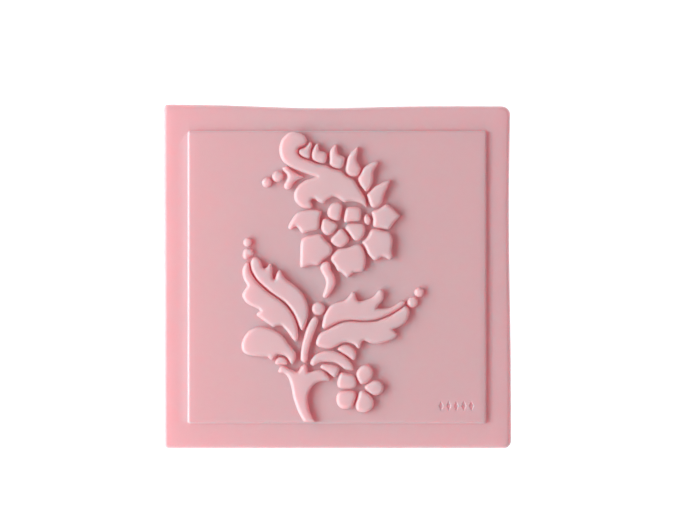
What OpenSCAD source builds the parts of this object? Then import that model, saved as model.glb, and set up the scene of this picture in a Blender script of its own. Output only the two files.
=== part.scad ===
// Relief plate of a silicone soap mould: a slab with a ledge, a raised panel on it, and a
// flowering branch in relief on the panel. Soap poured over it takes the branch as a sunken pattern.

/* [Slab] */
// Width of the slab, left to right
slab_w = 87.2; // [80:0.2:100]
// Depth of the slab, bottom edge to top edge
slab_d = 86.2; // [80:0.2:100]
// Thickness of the slab
slab_t = 6; // [3:0.5:12]
// Radius of the slab's four upright corners
slab_corner_r = 1.8; // [1.4:0.1:4]
// Radius of the rim round the top of the slab
slab_rim_r = 1.2; // [0.4:0.1:1.3]

/* [Panel] */
// Width of the raised panel
panel_w = 74.5; // [70:0.5:76]
// Depth of the raised panel
panel_d = 73; // [73:0.5:76]
// Height of the panel above the ledge
panel_step = 0.8; // [0.5:0.1:3]
// Depth of the panel's root, keyed into the slab
panel_root = 2; // [1:0.1:3]
// Radius of the panel's corners
panel_corner_r = 0.6; // [0.3:0.1:2]
// Distance from the middle of the slab to the middle of the panel
panel_shift_y = -0.2; // [-1:0.1:1]

/* [Relief] */
// Height of leaves, petals and stems above the panel
relief_h = 1.8; // [0.8:0.1:4]
// Height of the beads above the panel
bead_h = 1.5; // [0.6:0.1:4]
// Steps along each stretch of an outline
smoothness = 3; // [2:1:5]

/* [Size marks] */
// Depth of the small diamonds cut into the panel
mark_depth = 0.3; // [0.1:0.1:0.8]
// Number of diamonds in the row
mark_count = 5; // [1:1:7]
// Distance from one diamond to the next
mark_pitch = 1.9; // [1.6:0.1:2.5]

/* [Hidden] */
silicone = [0.87, 0.68, 0.71];
panel_z = slab_t + panel_step;
mark_w = 1.2;
mark_h = 2.6;
mark_start = [26, -32.4];
round_sides = 48;

function numbered(name, count) = [for (i = [1:count]) str(name, "_", i)];

// ---- outlines ----
// An outline is a closed list of [x, y] in millimetres from the middle of the slab.
// A third value of 1 makes that point sharp, and every other point is rounded.

function place(p) = [p.x, p.y];
function is_sharp(p) = len(p) == 3;
function slope(before, here, after, reach) =
    (place(after) - place(before)) * reach / (norm(place(after) - place(here)) + norm(place(here) - place(before)));

// Points along the stretch from b to c of a curve that runs a, b, c, d
function stretch(a, b, c, d) =
    let (
        reach = norm(place(c) - place(b)),
        leave = is_sharp(b) ? place(c) - place(b) : slope(a, b, c, reach),
        arrive = is_sharp(c) ? place(c) - place(b) : slope(b, c, d, reach)
    )
    [for (i = [0:smoothness - 1])
        let (t = i / smoothness)
        (2 * pow(t, 3) - 3 * pow(t, 2) + 1) * place(b) + (pow(t, 3) - 2 * pow(t, 2) + t) * leave
        + (3 * pow(t, 2) - 2 * pow(t, 3)) * place(c) + (pow(t, 3) - pow(t, 2)) * arrive];

function rounded(points) =
    let (n = len(points))
    [for (i = [0:n - 1])
        each stretch(points[(i + n - 1) % n], points[i], points[(i + 1) % n], points[(i + 2) % n])];

module figure(points, height = relief_h) {
    color(silicone)
        translate([0, 0, panel_z])
            linear_extrude(height) polygon(rounded(points));
}

module bead(centre, r) {
    color(silicone)
        translate([centre.x, centre.y, panel_z])
            cylinder(h = bead_h, r = r, $fn = round_sides);
}

// ---- slab and panel ----

module slab_profile(half_w) {
    translate([0, -slab_t]) square([half_w, slab_t - slab_rim_r]);
    translate([0, -slab_rim_r]) square([half_w - slab_rim_r, slab_rim_r]);
    translate([half_w - slab_rim_r, -slab_rim_r]) intersection() {
        circle(slab_rim_r, $fn = round_sides);
        square(slab_rim_r);
    }
}

// A run of the slab across its whole width, with the round rim on both long edges
module slab_run(across, along) {
    rotate([90, 0, 0])
        linear_extrude(along, center = true) {
            slab_profile(across / 2);
            mirror([1, 0]) slab_profile(across / 2);
        }
}

module slab_body() {
    translate([0, 0, slab_t]) {
        slab_run(slab_w, slab_d - 2 * slab_corner_r);
        rotate([0, 0, 90]) slab_run(slab_d, slab_w - 2 * slab_corner_r);
        for (x = [-1, 1], y = [-1, 1])
            translate([x * (slab_w / 2 - slab_corner_r), y * (slab_d / 2 - slab_corner_r), 0])
                rotate_extrude($fn = round_sides) slab_profile(slab_corner_r);
    }
}

module panel_outline() {
    translate([0, panel_shift_y]) {
        square([panel_w, panel_d - 2 * panel_corner_r], center = true);
        square([panel_w - 2 * panel_corner_r, panel_d], center = true);
        for (x = [-1, 1], y = [-1, 1])
            translate([x * (panel_w / 2 - panel_corner_r), y * (panel_d / 2 - panel_corner_r)])
                circle(panel_corner_r, $fn = round_sides);
    }
}

module base_slab() {
    color(silicone) difference() {
        slab_body();
        translate([0, 0, slab_t - panel_root]) linear_extrude(panel_root + 1) panel_outline();
    }
}

module raised_panel() {
    color(silicone) difference() {
        translate([0, 0, slab_t - panel_root]) linear_extrude(panel_root + panel_step) panel_outline();
        for (i = [0:mark_count - 1])
            translate([mark_start.x + i * mark_pitch, mark_start.y, panel_z - mark_depth])
                linear_extrude(mark_depth + 1)
                    polygon([[-mark_w / 2, 0], [0, -mark_h / 2], [mark_w / 2, 0], [0, mark_h / 2]]);
    }
}

// ---- crest: the scrolled leaf over the bloom, and the six tips along its edge ----

module crest_leaf() {
    figure([
        [-7.6, 34.2], [-8.4, 35.3], [-9.8, 35.9], [-11.3, 36], [-12.6, 35.4], [-13.7, 34.2], [-14.3, 32.5],
        [-14.3, 30.8], [-13.8, 29.3], [-12.9, 28.2], [-11.7, 27.4], [-10, 26.6], [-8, 25.8], [-6.2, 25.2],
        [-5.1, 24.85, 1], [-6.3, 24.4], [-7.6, 24], [-8.8, 23.3], [-9.8, 22.4], [-10.5, 21.2], [-10.7, 20],
        [-10.4, 18.8], [-9.6, 17.9], [-8.5, 17.2], [-7.3, 17], [-6.4, 17.1], [-6.2, 17.7], [-6.6, 18.7],
        [-6.3, 19.3], [-5.6, 19.4], [-4.8, 18.8], [-4, 18.35], [-3.3, 18.3], [-2.7, 18.9], [-1.8, 19.6],
        [-0.7, 19.9], [0.3, 19.6], [1.1, 19], [1.9, 18.5, 1], [3.4, 18.8], [5, 18.6], [6.3, 18.1],
        [7.4, 17.3, 1], [7.2, 18.4], [6.9, 19.7], [6.2, 20.9], [5.5, 21.8], [4.9, 22.9], [4.1, 24.1],
        [3.2, 24.6], [2.2, 25.1], [1.4, 26], [0.6, 26.4], [-0.6, 26.6], [-1.6, 27], [-2.6, 27.6],
        [-4, 27.8], [-5.2, 28.1], [-6.3, 28.6], [-7.6, 29.1], [-8.7, 29.5], [-9.5, 30.1], [-9.9, 31],
        [-9.8, 31.8], [-9.2, 32.4], [-8.3, 32.8], [-7.7, 33.4]
    ]);
}

crest_tips = [
    [
        [-6.7, 33.5], [-6.3, 33], [-6.5, 32], [-6.7, 31], [-6.7, 29.9], [-7, 29.5], [-7.7, 29.6],
        [-8.6, 30], [-9.3, 30.6], [-9.5, 31.1], [-9.2, 31.6], [-8.6, 31.8], [-7.9, 32.1], [-7.3, 32.7]
    ],
    [
        [-4.9, 33.1], [-4.6, 32.6], [-4.6, 31.9], [-4.4, 31.3], [-3.7, 31.1], [-2.9, 30.9], [-2.6, 30.2],
        [-2.6, 29.2], [-2.9, 28.5], [-3.7, 28.3], [-4.8, 28.6], [-5.7, 29], [-6.2, 29.7], [-6.2, 30.8],
        [-5.9, 31.7], [-5.4, 32.6]
    ],
    [
        [-0.3, 33, 1], [-0.1, 32], [0, 31], [0.5, 30.3], [1.5, 29.9], [1.9, 29.4], [1.7, 28.3],
        [1.4, 27.4], [0.8, 27], [-0.3, 27.1], [-1.2, 27.5], [-1.8, 28.2], [-1.7, 29.2], [-1.8, 30.3],
        [-1.6, 31.4], [-1.1, 32.2]
    ],
    [
        [5.1, 32.3, 1], [5.1, 31.2], [5, 30.3], [4.8, 29.3], [5.1, 28.3], [5.7, 27.5], [5.9, 26.7],
        [5.6, 25.8], [5, 25.1], [4, 25], [3.2, 25.2], [2.5, 25.8], [2.2, 26.6], [2.3, 27.4], [2.5, 28.6],
        [2.7, 29.5], [3.1, 30.3], [3.8, 31.1], [4.5, 31.7]
    ],
    [
        [7.3, 21.2], [6.6, 21.9], [5.8, 23], [5.4, 24], [5.5, 24.8], [6, 25.5], [6.6, 26.8], [7.2, 27.4],
        [8.4, 28.2], [9.6, 28.6], [10.2, 28.5], [10.1, 27.9], [9.3, 26.7], [9, 26], [9, 25], [9, 24],
        [8.8, 23.2], [8.4, 22.4], [7.9, 21.6]
    ],
    [
        [13.3, 24, 1], [11.9, 23.6], [10.1, 22.7], [9.2, 22.1], [8.5, 21.3], [7.7, 20.6], [7.6, 20.1],
        [7.9, 19.2], [8.2, 18.2], [8.5, 17.6], [9.1, 17.2], [9.9, 17.4], [10.7, 17.8], [11.3, 18.5],
        [11.5, 19.6], [12.1, 21.2], [12.7, 22.4]
    ]
];

module crest_tip(i) {
    figure(crest_tips[i - 1]);
}

// ---- sepal and its two beads, left of the crest ----

module sepal() {
    figure([
        [-12.9, 27.4], [-12.2, 27.1], [-11.5, 26.5], [-10.6, 25.9], [-9.6, 25.4], [-8.3, 24.8, 1],
        [-9.3, 24.3], [-10.2, 23.9], [-10.9, 23.2], [-11.3, 22.4], [-11.8, 21.8], [-12.5, 21.7],
        [-13.1, 22.2], [-13.1, 22.9], [-12.6, 23.8], [-12.3, 24.7], [-12.5, 25.5], [-13, 26.1],
        [-13.5, 26.7], [-13.4, 27.2]
    ]);
}

module sepal_bead_inner() {
    bead([-14.8, 24.9], 1.35);
}

module sepal_bead_outer() {
    bead([-17.5, 23.4], 1.2);
}

// ---- bloom: the large flower, five petals inside five ----

bloom_outer_petals = [
    [
        [12.4, 17.9], [13.2, 17.6], [14.2, 16.7], [15, 15.9], [15.8, 15.1, 1], [15, 14.2], [14.2, 13.4],
        [13.5, 12.4], [12.9, 11.8], [11.5, 12], [10.1, 12.2], [9.2, 12.5], [9, 13.2], [9.1, 14.2],
        [8.9, 15.2], [8.7, 16], [9.4, 16.4], [10.4, 16.7], [11.2, 17.2], [11.8, 17.7]
    ],
    [
        [8.4, 11.3], [8.9, 11.7], [10.2, 11.7], [11.5, 11.3], [12.7, 11.1], [13.3, 10.7], [13.7, 9.8],
        [13.9, 8.8], [13.8, 7.6], [13.6, 6.6], [13.7, 5.6], [13.9, 4.8], [13.5, 4.3], [12.8, 4.3],
        [12.2, 4.7], [11.4, 4.9], [10.6, 4.6], [9.9, 4.1], [9.2, 4.1], [8.4, 4.9], [7.8, 5.6], [7.3, 6.8],
        [6.8, 7.8], [6.3, 8.5], [7, 9.1], [7.7, 9.9], [8.1, 10.7]
    ],
    [
        [0.2, 6.6], [1.2, 6.9], [2.3, 7], [3.3, 7.3], [4.3, 7.7], [5.1, 7.9], [5.8, 7.7], [6.4, 7],
        [6.9, 5.9], [7.1, 4.6], [7.1, 3.2], [6.8, 1.9], [6.3, 1.2], [5.4, 1.1], [4.2, 1, 1], [3.6, 0.5],
        [3.1, 0], [2.5, -0.2], [1.9, 0.2], [1.4, 0.8], [0.8, 1.2], [0.1, 1.6], [-0.4, 2.6], [-0.9, 3.3],
        [-1.4, 4], [-1.3, 4.9], [-0.7, 5.7]
    ],
    [
        [-8.9, 8.8], [-8.4, 9.5], [-7.4, 10], [-6.2, 10.2], [-4.9, 10.5], [-4.1, 10.4], [-3.5, 9.7],
        [-2.7, 8.8], [-1.8, 8], [-1.3, 7.3], [-1.2, 6.6], [-1.5, 5.7], [-2.2, 5], [-3.2, 4.3], [-3.9, 3.6],
        [-4.4, 3], [-5.2, 2.8], [-6.3, 3], [-7.3, 2.7], [-8.3, 2.3], [-9, 2.3], [-9.2, 3.2], [-9.1, 5.5],
        [-9.1, 7.6]
    ],
    [
        [-12.1, 12.1], [-11.9, 13], [-11.2, 14.2], [-10.6, 15.1], [-9.9, 15.8], [-9, 16.2], [-7.5, 16.4],
        [-5.8, 16.6], [-4.6, 16.5], [-4, 16.1], [-4, 15.4], [-4.35, 14.6], [-4.4, 13.6], [-4.4, 12.7],
        [-4.7, 11.9], [-5.4, 11.6], [-6.7, 11.3], [-7.8, 11], [-8.5, 10.8], [-9, 11.1], [-9.5, 11.9],
        [-10.2, 12.5], [-10.9, 12.2], [-11.5, 11.7]
    ]
];

bloom_inner_petals = [
    [
        [2.4, 16.9], [3, 17.2], [4, 17.3], [5.1, 17.2], [5.8, 16.9], [6, 16.2], [6, 15.3], [5.9, 14.4],
        [5.5, 13.9], [4.7, 13.8], [3.7, 13.8], [2.8, 13.6], [2.1, 13.5], [1.8, 13.9], [1.9, 14.9],
        [2.1, 16.1]
    ],
    [
        [2.8, 12.9], [3.8, 13.1], [5.2, 13.1], [6.4, 13], [6.9, 12.4], [7, 11.5], [6.8, 10.6],
        [6.3, 9.7], [5.6, 9.1], [4.9, 8.95], [4.2, 9.2], [3.6, 10], [2.9, 11], [2.2, 11.9], [2.3, 12.5]
    ],
    [
        [1, 11.8], [1.5, 11.6], [2, 11], [2.5, 10.3], [2.9, 9.6], [2.9, 8.9], [2.5, 8.2], [1.7, 7.6],
        [0.8, 7.35], [-0.1, 7.55], [-0.9, 8.1], [-1.5, 8.8], [-1.3, 9.6], [-0.6, 10.3], [0.1, 11],
        [0.6, 11.6]
    ],
    [
        [-3.2, 14.3], [-2.3, 14.25], [-1.4, 13.8], [-0.5, 13.4], [0, 12.9], [0.1, 12.4], [-0.3, 11.8],
        [-0.8, 11.2], [-1.4, 10.6], [-2.1, 10.3], [-2.9, 10.5], [-3.5, 11.1], [-3.9, 12], [-3.8, 13],
        [-3.6, 13.8]
    ],
    [
        [-1, 18.2], [-0.3, 18.4], [0.5, 18.3], [1.1, 17.9], [1.3, 17.2], [1.1, 16.2], [0.9, 15.2],
        [0.8, 14.4], [0.4, 14], [-0.3, 14], [-1.2, 14.3], [-1.9, 14.7], [-2.3, 15.4], [-2.3, 16.3],
        [-2, 17.2], [-1.5, 17.8]
    ]
];

module bloom_outer_petal(i) {
    figure(bloom_outer_petals[i - 1]);
}

module bloom_inner_petal(i) {
    figure(bloom_inner_petals[i - 1]);
}

module bloom_seed() {
    figure([[7.4, 15.4], [8, 14.9], [8.35, 14], [8.2, 13.2], [7.8, 12.9], [7.1, 13.3], [6.8, 14], [6.9, 14.9]],
        bead_h);
}

// ---- stems ----

module bloom_stem() {
    figure([
        [-2.4, 3.6], [-3.2, 3.5], [-3.8, 3], [-4.1, 2.2], [-3.9, 1.3], [-3.4, 0.4], [-2.9, -0.5],
        [-2.7, -1.4], [-2.8, -2.4], [-3.1, -3.4], [-3.4, -4.3], [-3.5, -5], [-3, -5.4], [-2.3, -5],
        [-1.6, -4.2], [-1, -3.2], [-0.5, -2.2], [-0.4, -1.2], [-0.6, -0.2], [-1, 0.7], [-1.6, 1.6],
        [-1.7, 2.6], [-1.9, 3.3]
    ]);
}

module stem_bead() {
    bead([-4.65, -8.1], 1.6);
}

module main_stem() {
    figure([
        [-5.4, -10.1], [-4.8, -10.5], [-4.7, -11.2], [-5.1, -12.4], [-5.6, -13.7], [-6.1, -15.1],
        [-6.6, -16.6], [-7, -18.1], [-7.3, -19.6], [-7.4, -20.8], [-7.8, -21.4], [-8.5, -21.4],
        [-9, -20.8], [-9, -19.6], [-8.85, -18.3], [-8.55, -16.7], [-8.1, -15], [-7.6, -13.4], [-7, -11.9],
        [-6.4, -10.9], [-6, -10.4]
    ]);
}

// ---- left leaf: two halves along a curved vein, and two beads over it ----

module left_leaf_outer() {
    figure([
        [-22.3, 3.5], [-22.9, 3.1], [-23.4, 2.1], [-23.6, 1], [-23.4, -0.2], [-22.9, -1.3], [-22.4, -2.3],
        [-22.7, -3], [-23.3, -3.8], [-23.6, -4.8], [-23.2, -5.8], [-22.4, -6.7], [-21.2, -7.4],
        [-19.9, -7.9], [-19.2, -8.6, 1], [-19.7, -9.1], [-20, -9.6], [-19.4, -10.2], [-18, -11.2],
        [-16.9, -12], [-15.9, -12.6, 1], [-14.6, -12.3], [-13.8, -12.3], [-13, -13], [-12.2, -14],
        [-11.5, -15], [-10.8, -15.9], [-10.2, -16.2], [-9.8, -15.6], [-9.7, -14.4], [-9.9, -13],
        [-10.3, -11.5], [-10.8, -10.2], [-11.5, -9], [-12.4, -7.8], [-13.6, -6.6], [-15.2, -5.4],
        [-17, -4.2], [-18.8, -2.6], [-20.1, -1.3], [-21.1, 0.1], [-21.8, 1.7], [-22, 2.9]
    ]);
}

module left_leaf_inner() {
    figure([
        [-20.2, 4.7], [-20.9, 4.5], [-21.4, 3.8], [-21.5, 2.8], [-21.2, 1.5], [-20.5, 0.2], [-19.7, -1],
        [-18.4, -2.2], [-16.6, -3.75], [-14.9, -4.95], [-13.2, -6.15], [-12, -7.4], [-11.1, -8.6],
        [-10.3, -10], [-9.7, -11.4], [-9.2, -12.8], [-8.8, -13.4], [-8.4, -13.2], [-7.9, -12.2],
        [-7.5, -10.8], [-7.2, -9.2], [-7.3, -7.6], [-7.7, -6.2], [-8.4, -4.7], [-9.6, -3.2],
        [-11.1, -1.9], [-12.5, -1], [-13.4, 0], [-13.9, 1], [-14.3, 1.5], [-14.8, 1], [-15.2, 0],
        [-15.4, -0.7], [-15.8, -0.9], [-16.1, -0.5], [-16.2, 0.5], [-16.2, 1.7], [-16.4, 2.8],
        [-16.8, 3.1], [-17.3, 2.4], [-17.8, 2], [-18.3, 2], [-18.7, 2.5], [-19, 3.6], [-19.5, 4.4]
    ]);
}

module left_leaf_bead_upper() {
    bead([-22.3, 8.5], 1.05);
}

module left_leaf_bead_lower() {
    figure([
        [-23.5, 5.5], [-23.3, 6.4], [-22.6, 6.9], [-21.8, 6.9], [-21.1, 6.5], [-20.8, 5.9], [-21.1, 5.3],
        [-21.8, 4.9], [-22.4, 4.4], [-23, 4.4], [-23.4, 4.9]
    ], bead_h);
}

// ---- right leaf: two halves along a curved vein, and two beads past its tip ----

module right_leaf_upper() {
    figure([
        [-3.3, -13], [-3.7, -12.4], [-3.5, -11.2], [-3.2, -10], [-2.7, -9], [-2.1, -8], [-1.3, -7.1],
        [-0.3, -6.6], [1, -6.3], [2.1, -5.9], [3, -5], [3.6, -4.2], [4.2, -4], [4.6, -4.8], [4.9, -5.8],
        [5.6, -6.3], [7, -6], [8.3, -5.6], [9.3, -5], [9.9, -4.2], [10.5, -3.5], [11.2, -3.4],
        [11.6, -4.2], [11.6, -5.4], [11.1, -6.4], [10.3, -7.2], [9.8, -8.1, 1], [11.3, -8.1],
        [12.6, -8], [13.9, -7.6], [15.1, -6.9], [16.2, -6.2], [16.9, -6.2], [16.8, -6.9],
        [15.9, -7.7], [14.6, -8.5], [13.1, -9.4], [11.5, -10.1], [9.8, -10.7], [8, -10.95], [5.9, -10.95],
        [3.6, -10.8], [1.8, -10.95], [0.3, -11.4], [-1.1, -12.1], [-2.4, -12.7]
    ]);
}

module right_leaf_lower() {
    figure([
        [-3.3, -13.8], [-2, -13.2], [-0.6, -12.5], [0.6, -11.9], [2, -11.45], [3.7, -11.3], [5.9, -11.45],
        [8.2, -11.45], [10.1, -11.25], [11.8, -10.6], [13.4, -9.9], [14.8, -9], [16.1, -8.2],
        [17, -7.5], [17.7, -7.9], [18.05, -8.9], [17.9, -10], [17.3, -11.2], [16.3, -12.1],
        [15.1, -12.75], [13.75, -13.2, 1], [14.4, -13.8], [15, -14.5], [14.5, -15.3], [13.2, -16],
        [11.7, -16.5], [10.1, -16.8], [8.7, -16.7], [7.7, -16.3], [7, -16], [6.3, -16.2], [6, -16.9],
        [5.8, -17.6], [5.5, -18], [5, -17.7], [4.3, -17], [3.4, -16.6], [2.3, -16.4], [1.2, -16.6],
        [0.3, -17.1], [-0.8, -17.75], [-2.2, -18], [-3.6, -17.8], [-4.8, -17.3], [-5.2, -16.6],
        [-5, -15.7], [-4.6, -14.9], [-4.1, -14.2]
    ]);
}

module right_leaf_bead_inner() {
    bead([18.9, -6.45], 1.3);
}

module right_leaf_bead_outer() {
    bead([20.55, -4], 1.15);
}

// ---- bud ----

module bud() {
    figure([
        [-23.8, -17.2], [-23.6, -16.1], [-23.2, -15.2], [-22.6, -14.3], [-21.8, -13.5], [-20.7, -12.95],
        [-19.3, -12.7], [-17.9, -12.85], [-16.5, -13.2], [-15.3, -13.7], [-14.2, -14.4], [-13.3, -15.3],
        [-12.6, -16.3], [-11.9, -17.2], [-11.1, -18.1], [-10.5, -18.9], [-10.25, -20], [-10.5, -21],
        [-11.2, -21.95, 1], [-11.7, -21.4], [-12.2, -20.5], [-12.9, -19.85], [-13.8, -19.5], [-14.7, -19.5],
        [-15.4, -20], [-16.3, -20.95, 1], [-16.8, -20.5], [-17.4, -20], [-18.4, -19.95], [-20.3, -19.9],
        [-21.9, -19.65], [-23, -19.15], [-23.6, -18.4]
    ]);
}

module bud_bead() {
    figure([
        [-15.4, -21.4], [-15.1, -20.8], [-14.6, -20.35], [-14, -20.2], [-13.3, -20.4], [-12.8, -20.8],
        [-12.4, -21.4], [-12.5, -21.9], [-13.1, -22], [-14, -21.9], [-14.7, -22], [-15.2, -21.9]
    ], bead_h);
}

// ---- trunk and the pieces at its root ----

module trunk() {
    figure([
        [-14.6, -23.6], [-14.3, -22.9], [-13.8, -22.5], [-13.1, -22.6], [-12.1, -23.1], [-11.1, -23.5],
        [-10.2, -23.9], [-9.7, -23.9, 1], [-9.2, -23.1], [-8.8, -22.4], [-8.3, -22.1], [-7.8, -22.1],
        [-7.5, -22.8], [-7.3, -24, 1], [-6.5, -23.9], [-5.5, -23.6], [-4.3, -23.5], [-3.3, -23.8],
        [-2.6, -24.5], [-2, -25.2], [-1.8, -25.8], [-2.3, -26.1], [-3.4, -26.1], [-4.5, -26.3],
        [-5.5, -26.8], [-6.3, -27.6], [-6.9, -28.6], [-7.3, -29.8], [-7.4, -31.1], [-7.2, -32.5],
        [-6.8, -33.9], [-6.2, -35.2], [-5.5, -36.4, 1], [-8.1, -36.4, 1], [-8.9, -35.2], [-9.7, -33.6],
        [-10.3, -32], [-10.9, -30.2], [-11.2, -28.4], [-11.6, -26.8], [-12, -25.6], [-12.5, -24.8],
        [-13.2, -24.2], [-14, -24.1], [-14.5, -24]
    ]);
}

module root_crescent() {
    figure([
        [-5.9, -22.3], [-6.6, -21.8], [-6.4, -20.9], [-5.7, -20], [-4.7, -19.3], [-3.5, -18.85],
        [-2.2, -18.65], [-0.9, -18.7], [0.3, -19.1], [1.4, -19.65], [2.4, -20.4], [3.2, -21.2],
        [3.8, -22.1], [4.15, -23], [3.8, -23.45], [2.9, -23.35], [1.9, -23.1], [1.3, -22.6],
        [0.6, -22.1], [-0.3, -21.6], [-1.5, -21.35], [-2.9, -21.25], [-4.1, -21.4], [-5.1, -21.9]
    ]);
}

module root_sickle() {
    figure([
        [0.2, -18.2], [0.7, -17.7], [1.4, -17.35], [2.3, -17.2], [3.2, -17.4], [3.9, -17.85],
        [4.4, -18.4], [4.7, -19.1], [4.75, -19.9], [4.6, -20.6], [4.1, -20.9], [3.5, -20.5], [2.7, -19.9],
        [1.9, -19.35], [1, -18.8]
    ]);
}

module root_wedge() {
    figure([
        [-4.1, -22.6], [-3.8, -22.15], [-3.2, -22], [-2.2, -22.1], [-1.3, -22.1], [-0.4, -22.4],
        [0.3, -22.8], [0.6, -23.3], [0.3, -24.1], [-0.1, -24.8], [-0.6, -25.1], [-1.3, -24.7],
        [-2.1, -24], [-3, -23.4], [-3.8, -23]
    ]);
}

// ---- blossom: the small flower at the lower right ----

blossom_petals = [
    [
        [7.2, -22.1], [6.2, -22.4], [5.4, -23.2], [4.9, -24.2], [5, -25.2], [5.5, -26.2], [6, -26.85],
        [6.8, -26.8], [7.7, -26.3], [8.5, -25.5], [9, -24.5], [8.9, -23.4], [8.2, -22.5]
    ],
    [
        [7, -27.6], [7.5, -27.1], [8.2, -26.7], [8.9, -26.2], [9.8, -26], [10.7, -26.3], [11.4, -27],
        [11.6, -27.9], [11.3, -28.8], [10.6, -29.4], [9.7, -29.65], [8.8, -29.4], [7.9, -28.8],
        [7.2, -28.2]
    ],
    [
        [6, -28.6], [5.5, -29.2], [5.3, -30.2], [4.9, -31.3], [4.7, -32.4], [5, -33.3], [5.8, -33.8],
        [6.9, -33.85], [8, -33.5], [8.8, -32.8], [9.2, -31.8], [9, -30.8], [8.4, -29.9], [7.5, -29.2],
        [6.7, -28.7]
    ],
    [
        [1, -28.7], [0.3, -29.2], [-0.1, -30.1], [-0.1, -31.2], [0.3, -32.2], [1.1, -32.85], [2.1, -33.05],
        [3.1, -32.9], [3.8, -32.4], [4.2, -31.5], [4.6, -30.4], [4.7, -29.4], [4.3, -28.8], [3.3, -28.6],
        [2.1, -28.7]
    ],
    [
        [1.1, -24.1], [0.6, -24.8], [0.3, -25.8], [0.1, -26.8], [0.4, -27.6], [1.2, -27.95], [2.4, -28],
        [3.7, -27.95], [4.5, -27.6], [4.9, -26.8], [4.7, -25.9], [4.3, -25], [3.6, -24.5], [2.7, -24.4],
        [1.8, -24.1]
    ]
];

module blossom_petal(i) {
    figure(blossom_petals[i - 1]);
}

base_slab();
raised_panel();
crest_leaf();
for (i = [1:6])
    crest_tip(i);
sepal();
sepal_bead_inner();
sepal_bead_outer();
for (i = [1:5])
    bloom_outer_petal(i);
for (i = [1:5])
    bloom_inner_petal(i);
bloom_seed();
bloom_stem();
stem_bead();
main_stem();
left_leaf_outer();
left_leaf_inner();
left_leaf_bead_upper();
left_leaf_bead_lower();
right_leaf_upper();
right_leaf_lower();
right_leaf_bead_inner();
right_leaf_bead_outer();
bud();
bud_bead();
trunk();
root_crescent();
root_sickle();
root_wedge();
for (i = [1:5])
    blossom_petal(i);
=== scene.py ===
import math

import bmesh
import bpy
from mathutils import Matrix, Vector, noise
from mathutils.bvhtree import BVHTree


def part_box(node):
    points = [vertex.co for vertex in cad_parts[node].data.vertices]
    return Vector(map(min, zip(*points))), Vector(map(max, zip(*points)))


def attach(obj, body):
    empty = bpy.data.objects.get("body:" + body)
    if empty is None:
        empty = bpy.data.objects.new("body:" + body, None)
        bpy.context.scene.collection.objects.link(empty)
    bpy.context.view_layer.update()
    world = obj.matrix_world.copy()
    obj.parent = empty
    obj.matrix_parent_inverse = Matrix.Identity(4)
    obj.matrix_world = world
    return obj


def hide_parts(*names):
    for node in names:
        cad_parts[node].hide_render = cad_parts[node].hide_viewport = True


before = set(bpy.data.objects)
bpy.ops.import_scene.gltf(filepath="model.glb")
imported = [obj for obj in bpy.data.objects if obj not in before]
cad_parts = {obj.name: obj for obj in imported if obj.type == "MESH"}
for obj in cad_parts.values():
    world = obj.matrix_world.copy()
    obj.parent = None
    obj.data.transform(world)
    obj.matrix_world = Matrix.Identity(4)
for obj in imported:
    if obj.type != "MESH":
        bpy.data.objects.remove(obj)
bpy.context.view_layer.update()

mm = 0.001
tiny = 0.0001 * mm

# camera straight above the plate, a little up and right of its middle
cameraPlace = {
    "height": 1200 * mm,
    "aim": (3.25 * mm, 3.45 * mm),
    "seenWidth": 175 * mm,     # width of the picture at the height of the ledge
    "sensor": 36.0,
}


def addCamera():
    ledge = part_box("base_slab")[1].z
    data = bpy.data.cameras.new("camera")
    data.sensor_width = cameraPlace["sensor"]
    data.lens = cameraPlace["sensor"] * (cameraPlace["height"] - ledge) / cameraPlace["seenWidth"]
    data.clip_start = 0.01
    data.clip_end = 20
    camera = bpy.data.objects.new("camera", data)
    camera.location = (*cameraPlace["aim"], cameraPlace["height"])
    bpy.context.scene.collection.objects.link(camera)
    bpy.context.scene.camera = camera


addCamera()
print("camera ready")


# shader sockets that can be added and multiplied like numbers

class Wire:
    def __init__(self, net, socket):
        self.net = net
        self.socket = socket

    def combine(self, operation, first, second):
        return self.net.node("ShaderNodeMath", {"operation": operation}, {0: first, 1: second})

    def __add__(self, other):
        return self.combine("ADD", self, other)

    def __sub__(self, other):
        return self.combine("SUBTRACT", self, other)

    def __rsub__(self, other):
        return self.combine("SUBTRACT", other, self)

    def __mul__(self, other):
        return self.combine("MULTIPLY", self, other)

    def __abs__(self):
        return self.combine("ABSOLUTE", self, 0.0)

    __radd__ = __add__
    __rmul__ = __mul__


class Net:
    def __init__(self, name):
        self.material = bpy.data.materials.new(name)
        self.material.use_nodes = True
        self.tree = self.material.node_tree
        self.tree.nodes.clear()

    def node(self, kind, settings=None, inputs=None, out=0):
        made = self.tree.nodes.new(kind)
        for name, value in (settings or {}).items():
            setattr(made, name, value)
        for name, value in (inputs or {}).items():
            if isinstance(value, Wire):
                self.tree.links.new(value.socket, made.inputs[name])
            else:
                made.inputs[name].default_value = value
        return Wire(self, made.outputs[out]) if made.outputs else None


def opaque(colour):
    return (*colour, 1)


siliconeLook = {
    "mottleSize": 60.0,          # colour patches per metre
    "mottleDetail": 3.0,
    "roughness": 0.36,
    "roughnessSwing": 0.08,
    "ior": 1.41,
    "specular": 1.0,
    "sheen": 0.25,
    "sheenRoughness": 0.4,
    "scatterScale": 2.8 * mm,
    "throughTint": (0.98, 0.21, 0.3),
    "grain": 2600.0,             # bump patches per metre
    "grainDetail": 2.0,
    "grainDepth": 0.004 * mm,
    "grainStrength": 0.5,
    "uprightness": (0.2, 0.95),  # how far a face points up, at which it counts as a side and as a top
}

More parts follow.
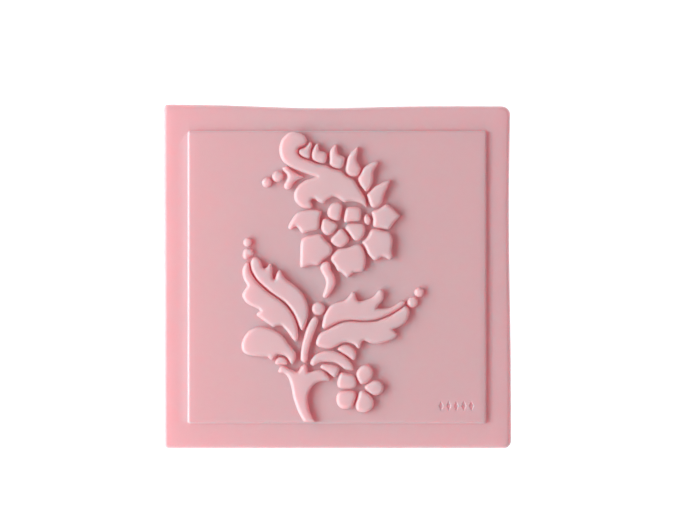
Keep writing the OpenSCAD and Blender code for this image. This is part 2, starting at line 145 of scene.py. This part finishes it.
# colour, share of the light that goes right through the surface at tops and at sides, and how far red,
# green and blue spread inside
slabTone = {"tint": (0.92, 0.865, 1.0), "warmTint": (0.92, 0.885, 0.98), "through": 0.54,
            "sideThrough": 0.18, "scatter": (1.0, 0.22, 0.22)}
figureTone = {"tint": (0.98, 0.81, 0.86), "warmTint": (0.98, 0.83, 0.84), "through": 0.43,
              "sideThrough": 0.43, "scatter": (1.0, 0.5, 0.48)}


def makeSilicone(name, look, tone):
    net = Net(name)
    place = net.node("ShaderNodeTexCoord", out=3)
    patches = net.node("ShaderNodeTexNoise", {}, {
        "Vector": place, "Scale": look["mottleSize"], "Detail": look["mottleDetail"]})
    colour = net.node("ShaderNodeMix", {"data_type": "RGBA"},
                      {0: patches, 6: opaque(tone["tint"]), 7: opaque(tone["warmTint"])}, out=2)
    rough = look["roughness"] + look["roughnessSwing"] * (patches - 0.5)
    grain = net.node("ShaderNodeTexNoise", {}, {
        "Vector": place, "Scale": look["grain"], "Detail": look["grainDetail"]})
    bump = net.node("ShaderNodeBump", {}, {
        "Height": grain, "Strength": look["grainStrength"], "Distance": look["grainDepth"]})
    skin = net.node("ShaderNodeBsdfPrincipled", {"subsurface_method": "RANDOM_WALK"}, {
        "Base Color": colour,
        "Roughness": rough,
        "Normal": bump,
        "IOR": look["ior"],
        "Specular IOR Level": look["specular"],
        "Subsurface Weight": 1.0,
        "Subsurface Radius": tone["scatter"],
        "Subsurface Scale": look["scatterScale"],
        "Sheen Weight": look["sheen"],
        "Sheen Roughness": look["sheenRoughness"],
    })
    inside = net.node("ShaderNodeBsdfTranslucent", {}, {"Color": opaque(look["throughTint"]), "Normal": bump})
    upward = net.node("ShaderNodeSeparateXYZ", {}, {0: net.node("ShaderNodeTexCoord", out=1)}, out=2)
    side, top = look["uprightness"]
    share = net.node("ShaderNodeMapRange", {}, {
        0: abs(upward), 1: side, 2: top, 3: tone["sideThrough"], 4: tone["through"]})
    both = net.node("ShaderNodeMixShader", {}, {0: share, 1: skin, 2: inside})
    net.node("ShaderNodeOutputMaterial", {}, {"Surface": both})
    return net.material


slabSilicone = makeSilicone("slabSilicone", siliconeLook, slabTone)
figureSilicone = makeSilicone("figureSilicone", siliconeLook, figureTone)


def addPiece(name, bm, material, nodes):
    mesh = bpy.data.meshes.new(name)
    bm.to_mesh(mesh)
    bm.free()
    piece = bpy.data.objects.new(name, mesh)
    bpy.context.scene.collection.objects.link(piece)
    mesh.materials.append(material)
    mesh.shade_smooth()
    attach(piece, "root")
    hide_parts(*nodes)
    return piece


def boxBetween(low, high):
    bm = bmesh.new()
    bmesh.ops.create_cube(bm, size=1)
    bmesh.ops.scale(bm, vec=high - low, verts=bm.verts)
    bmesh.ops.translate(bm, vec=(high + low) / 2, verts=bm.verts)
    return bm


def roundEdges(bm, edges, radius, segments):
    bmesh.ops.bevel(bm, geom=edges, offset=radius, offset_type="OFFSET", segments=segments,
                    profile=0.5, affect="EDGES", clamp_overlap=True, material=-1)


def uprightEdges(bm):
    return [e for e in bm.edges if abs(e.verts[0].co.z - e.verts[1].co.z) > 0.5 * mm
            and (e.verts[0].co.xy - e.verts[1].co.xy).length < tiny]


def edgesAtHeight(bm, z):
    return [e for e in bm.edges if all(abs(v.co.z - z) < tiny for v in e.verts)]


def cutAcross(bm, place, direction):
    bmesh.ops.bisect_plane(bm, geom=[*bm.verts, *bm.edges, *bm.faces], dist=tiny,
                           plane_co=place, plane_no=direction)


# the slab with its raised panel: round corners and rim, edges that wander a little, and a row of
# diamonds cut into the panel's lower right corner

slabLook = {
    "cornerRadii": {(-1, -1): 1.3 * mm, (1, -1): 1.9 * mm, (1, 1): 2.4 * mm, (-1, 1): 1.3 * mm},
    "rimRadius": 1.15 * mm,
    "footRadius": 0.4 * mm,
    "panelCorner": 0.6 * mm,
    "panelEdge": 0.5 * mm,
    "panelFoot": 0.2 * mm,
    "cutPitch": 3.6 * mm,
    "topDip": (0.75 * mm, -5 * mm, 18 * mm),    # how far the top edge dips, where, and how widely
    "topLean": 0.5 * mm,                        # how much lower it ends on the right
    "rightDip": (0.55 * mm, 16 * mm, 28 * mm),
    "leftLean": 0.1 * mm,                       # how far the left edge leans in at its bottom end
    "dish": 0.12 * mm,           # how much lower the ledge lies beside the panel than at the rim
    "dishWidth": 0.8,            # where the dish ends, as a share of the ledge
    "wave": 0.05 * mm,           # waviness of the ledge
    "waveSize": 40.0,            # waves per metre
    "ledgeReach": 0.3 * mm,      # what lies this far above the ledge still moves with it
    "markCount": 5,
    "markPitch": 1.9 * mm,
    "markStart": (26 * mm, -32.4 * mm),
    "markWidth": 1.3 * mm,
    "markHeight": 2.7 * mm,
    "markDepth": 0.3 * mm,
    "markFloor": 0.4,            # size of a diamond below the surface and above it, as a share
    "markMouth": 0.6,
    "sharpAngle": math.radians(32),
}


def dip(place, shape):
    depth, middle, width = shape
    return depth * math.exp(-((place - middle) / width) ** 2)


def wanderEdges(bm, low, high, panelLow, panelHigh, look):
    for v in bm.verts:
        up = (v.co.y - low.y) / (high.y - low.y)
        across = (v.co.x - low.x) / (high.x - low.x)
        left = max(0, (panelLow.x - v.co.x) / (panelLow.x - low.x))
        right = max(0, (v.co.x - panelHigh.x) / (high.x - panelHigh.x))
        top = max(0, (v.co.y - panelHigh.y) / (high.y - panelHigh.y))
        edge = max(left, right, top, (panelLow.y - v.co.y) / (panelLow.y - low.y))
        v.co.x += left * look["leftLean"] * (1 - up) - right * dip(v.co.y, look["rightDip"])
        v.co.y -= top * (dip(v.co.x, look["topDip"]) + look["topLean"] * across)
        if edge >= 0 and high.z / 2 < v.co.z < high.z + look["ledgeReach"]:
            v.co.z -= look["dish"] * max(0, 1 - edge / look["dishWidth"])
            v.co.z += look["wave"] * (noise.noise(v.co * look["waveSize"]) - 0.5) * min(1, 4 * edge)


def markCutter(look, top):
    bm = bmesh.new()
    for i in range(look["markCount"]):
        made = bmesh.ops.create_cone(bm, cap_ends=True, segments=4, depth=2,
                                     radius1=look["markFloor"], radius2=look["markMouth"])["verts"]
        bmesh.ops.scale(bm, vec=(look["markWidth"], look["markHeight"], look["markDepth"]), verts=made)
        bmesh.ops.translate(bm, verts=made,
                            vec=(look["markStart"][0] + i * look["markPitch"], look["markStart"][1], top))
    mesh = bpy.data.meshes.new("markCutter")
    bm.to_mesh(mesh)
    bm.free()
    cutter = bpy.data.objects.new("markCutter", mesh)
    bpy.context.scene.collection.objects.link(cutter)
    return cutter


def bakedMesh(piece):
    bpy.context.view_layer.update()
    return bpy.data.meshes.new_from_object(piece.evaluated_get(bpy.context.evaluated_depsgraph_get()))


def castSlab(look):
    low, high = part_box("base_slab")
    panelLow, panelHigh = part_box("raised_panel")
    bm = boxBetween(low, high)
    for (x, y), radius in look["cornerRadii"].items():
        roundEdges(bm, [e for e in uprightEdges(bm) if e.verts[0].co.x * x > 0 and e.verts[0].co.y * y > 0
                        and min(abs(e.verts[0].co.x - low.x), abs(e.verts[0].co.x - high.x)) < tiny
                        and min(abs(e.verts[0].co.y - low.y), abs(e.verts[0].co.y - high.y)) < tiny], radius, 8)
    roundEdges(bm, edgesAtHeight(bm, high.z), look["rimRadius"], 6)
    roundEdges(bm, edgesAtHeight(bm, low.z), look["footRadius"], 3)
    for x in (panelLow.x, panelHigh.x):
        cutAcross(bm, (x, 0, 0), (1, 0, 0))
    for y in (panelLow.y, panelHigh.y):
        cutAcross(bm, (0, y, 0), (0, 1, 0))
    panelTop = [f for f in bm.faces if f.normal.z > 0.99
                and panelLow.x < f.calc_center_median().x < panelHigh.x
                and panelLow.y < f.calc_center_median().y < panelHigh.y]
    raised = bmesh.ops.extrude_face_region(bm, geom=panelTop)["geom"]
    bmesh.ops.delete(bm, geom=panelTop, context="FACES_ONLY")
    bmesh.ops.translate(bm, vec=(0, 0, panelHigh.z - high.z),
                        verts=[v for v in raised if isinstance(v, bmesh.types.BMVert)])
    roundEdges(bm, [e for e in uprightEdges(bm) if min(v.co.z for v in e.verts) > high.z - tiny],
               look["panelCorner"], 5)
    roundEdges(bm, edgesAtHeight(bm, panelHigh.z), look["panelEdge"], 5)
    foot = [e for e in edgesAtHeight(bm, high.z) if len(e.link_faces) == 2
            and min(abs(f.normal.z) for f in e.link_faces) < 0.1]
    roundEdges(bm, foot, look["panelFoot"], 2)
    pitch = look["cutPitch"]
    for i in range(1, int((high.x - low.x) / pitch) + 1):
        cutAcross(bm, (low.x + i * pitch, 0, 0), (1, 0, 0))
        cutAcross(bm, (0, low.y + i * pitch, 0), (0, 1, 0))
    wanderEdges(bm, low, high, panelLow, panelHigh, look)
    bmesh.ops.recalc_face_normals(bm, faces=bm.faces)
    slab = addPiece("slab_casting", bm, slabSilicone, ["base_slab", "raised_panel"])
    cutter = markCutter(look, panelHigh.z)
    cut = slab.modifiers.new("marks", "BOOLEAN")
    cut.operation = "DIFFERENCE"
    cut.solver = "EXACT"
    cut.object = cutter
    cutMesh = bakedMesh(slab)
    slab.modifiers.clear()
    slab.data = cutMesh
    bpy.data.objects.remove(cutter)
    cutMesh.set_sharp_from_angle(angle=look["sharpAngle"])


castSlab(slabLook)
print("slab ready")


# the figures: each one is its upright-walled solid turned into a soft mound

figureLook = {
    "voxel": 0.13 * mm,
    "shoulder": 0.85 * mm,       # radius of the round edge along the top
    "shoulderShare": 0.75,       # and its limit, as a share of the half width of a narrow figure
    "smoothing": 3,
    "grow": 0.08 * mm,           # makes up for what the smoothing takes off the walls
    "gap": 0.03 * mm,            # hairline under each figure, so that light passes on into the panel
}


def remeshed(bm, voxel):
    mesh = bpy.data.meshes.new("rough")
    bm.to_mesh(mesh)
    rough = bpy.data.objects.new("rough", mesh)
    bpy.context.scene.collection.objects.link(rough)
    remesh = rough.modifiers.new("voxels", "REMESH")
    remesh.mode = "VOXEL"
    remesh.voxel_size = voxel
    fine = bmesh.new()
    fine.from_mesh(bakedMesh(rough))
    bpy.data.objects.remove(rough)
    return fine


def castFigure(node, look):
    low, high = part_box(node)
    height = high.z - low.z
    solid = bmesh.new()
    solid.from_mesh(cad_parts[node].data)
    bmesh.ops.remove_doubles(solid, verts=solid.verts, dist=0.001 * mm)
    fine = remeshed(solid, look["voxel"])
    bmesh.ops.delete(solid, geom=[f for f in solid.faces if abs(f.normal.z) > 0.5], context="FACES")
    walls = BVHTree.FromBMesh(solid)
    middle = (low.z + high.z) / 2
    insets = [walls.find_nearest((v.co.x, v.co.y, middle))[3] for v in fine.verts]
    shoulder = min(look["shoulder"], look["shoulderShare"] * max(insets))
    for v, inset in zip(fine.verts, insets):
        short = max(0, 1 - inset / shoulder)
        drop = shoulder * (1 - math.sqrt(1 - short ** 2))
        level = min(1, max(0, (v.co.z - low.z) / height))
        v.co.z = low.z + look["gap"] + level * (height - look["gap"] - drop)
    for _ in range(look["smoothing"]):
        bmesh.ops.smooth_vert(fine, verts=fine.verts, factor=0.5,
                              use_axis_x=True, use_axis_y=True, use_axis_z=True)
    fine.normal_update()
    for v in fine.verts:
        v.co.xy += v.normal.xy * look["grow"]
    solid.free()
    addPiece(node + "_casting", fine, figureSilicone, [node])


figures = [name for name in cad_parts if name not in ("base_slab", "raised_panel")]
for name in figures:
    castFigure(name, figureLook)
print("figures ready:", len(figures))


# floor and lights

studio = {
    "floorSize": 4.0,
    "floorDrop": 0.05 * mm,      # how far the paper lies below the plate
    "paper": ((0.86, 0.86, 0.86), (0.9, 0.9, 0.9)),
    "paperRoughness": 0.8,
    "fibre": 900.0,
    "floorGlow": 0.75,
    "darkHalf": 41.8 * mm,       # the paper doesn't glow nearer the middle than this, under the plate
    "glowRamp": 1 * mm,
    "key": {"from": (-1.0, -0.12, 0.64), "distance": 0.9, "width": 1.2, "tall": 0.5, "power": 15.5},
    "reflector": {"from": (1.0, 0.1, 0.8), "distance": 1.0, "width": 1.4, "tall": 0.9, "power": 2.8},
    "fill": 0.16,
}


def addFloor():
    bm = bmesh.new()
    bmesh.ops.create_grid(bm, x_segments=1, y_segments=1, size=studio["floorSize"] / 2)
    bmesh.ops.translate(bm, vec=(0, 0, -studio["floorDrop"]), verts=bm.verts)
    mesh = bpy.data.meshes.new("floor")
    bm.to_mesh(mesh)
    bm.free()
    floor = bpy.data.objects.new("floor", mesh)
    bpy.context.scene.collection.objects.link(floor)
    net = Net("paper")
    place = net.node("ShaderNodeTexCoord", out=3)
    fibre = net.node("ShaderNodeTexNoise", {}, {"Vector": place, "Scale": studio["fibre"]})
    dark, light = studio["paper"]
    white = net.node("ShaderNodeMix", {"data_type": "RGBA"},
                     {0: fibre, 6: opaque(dark), 7: opaque(light)}, out=2)
    x = net.node("ShaderNodeSeparateXYZ", {}, {0: place})
    y = net.node("ShaderNodeSeparateXYZ", {}, {0: place}, out=1)
    outside = net.node("ShaderNodeMapRange", {}, {
        0: x.combine("MAXIMUM", abs(x), abs(y)),
        1: studio["darkHalf"], 2: studio["darkHalf"] + studio["glowRamp"]})
    glow = net.node("ShaderNodeMix", {"data_type": "RGBA"},
                    {0: outside, 6: opaque((0, 0, 0)), 7: opaque((1, 1, 1))}, out=2)
    paper = net.node("ShaderNodeBsdfPrincipled", {}, {
        "Base Color": white, "Roughness": studio["paperRoughness"],
        "Emission Color": glow, "Emission Strength": studio["floorGlow"]})
    net.node("ShaderNodeOutputMaterial", {}, {"Surface": paper})
    mesh.materials.append(net.material)


def addSoftbox(name):
    look = studio[name]
    data = bpy.data.lights.new(name, "AREA")
    data.shape = "RECTANGLE"
    data.size = look["width"]
    data.size_y = look["tall"]
    data.energy = look["power"]
    box = bpy.data.objects.new(name, data)
    away = Vector(look["from"]).normalized()
    box.location = away * look["distance"]
    box.rotation_mode = "QUATERNION"
    box.rotation_quaternion = away.to_track_quat("Z", "Y")
    bpy.context.scene.collection.objects.link(box)


def addFill():
    world = bpy.data.worlds.new("room")
    world.use_nodes = True
    sky = world.node_tree.nodes["Background"]
    sky.inputs["Color"].default_value = opaque((1, 1, 1))
    sky.inputs["Strength"].default_value = studio["fill"]
    bpy.context.scene.world = world


addFloor()
addSoftbox("key")
addSoftbox("reflector")
addFill()
bpy.context.scene.view_settings.view_transform = "Standard"
print("studio ready")
